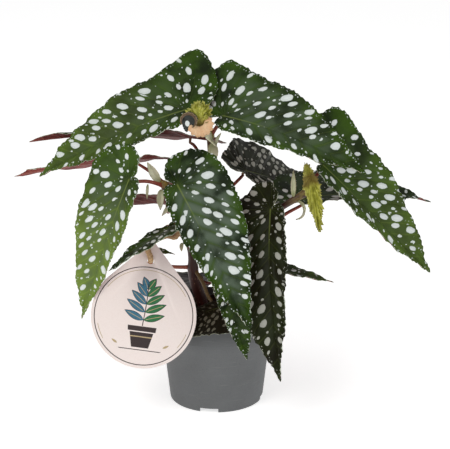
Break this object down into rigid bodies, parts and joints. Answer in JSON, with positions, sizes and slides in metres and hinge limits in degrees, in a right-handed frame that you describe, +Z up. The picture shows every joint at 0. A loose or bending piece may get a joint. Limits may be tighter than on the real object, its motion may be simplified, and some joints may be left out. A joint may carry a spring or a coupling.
{
  "type": "potted polka dot begonia",
  "caption": "Cane begonia with long, one-sided, white-spotted leaves on red stalks, in a round plastic nursery pot with a hanging paper tag.",
  "frame": {"origin": "centre of the pot's flat base, on the surface that it stands on", "axes": "+Z up the plant, -Y towards its front, +X to its right seen from the front"},
  "size_m": [0.4506, 0.2947, 0.3596],
  "materials": {
    "leaf": "satin",
    "young_leaf": "satin",
    "bract": "matte",
    "stem": "satin",
    "pot": "matte",
    "soil": "matte",
    "tag": "matte",
    "twine": "matte"
  },
  "bodies": {
    "root": {"pot": "pot", "soil": "soil", "cane_left": "stem", "cane_back": "stem", "cane_right": "stem", "leaf_upper_left": "leaf", "leaf_upper_right": "leaf", "leaf_right": "leaf", "leaf_left": "leaf", "leaf_front": "leaf", "leaf_front_right": "leaf", "leaf_back_middle": "leaf", "leaf_back_right": "leaf", "leaf_back_left": "leaf", "leaf_low_left": "leaf", "leaf_over_tag": "leaf", "leaf_mid_left": "leaf", "leaf_behind_tag": "leaf", "leaf_low_front": "leaf", "leaf_over_rim": "leaf", "leaf_low_right": "leaf", "leaf_side_right": "leaf", "leaf_back_high": "leaf", "leaf_back_low_right": "leaf", "leaf_back_low_left": "leaf", "young_leaf_top": "young_leaf", "young_leaf_right": "young_leaf", "bract_left_up": "bract", "bract_left_down": "bract", "bract_left_low": "bract", "bract_left_bud": "bract", "bract_top_down": "bract", "bract_top_up": "bract", "bract_right_up": "bract", "bract_right_hook": "bract", "bract_low": "bract", "bud_sheath": "bract", "tag": "tag", "twine_loop": "twine"}
  },
  "joints": []
}
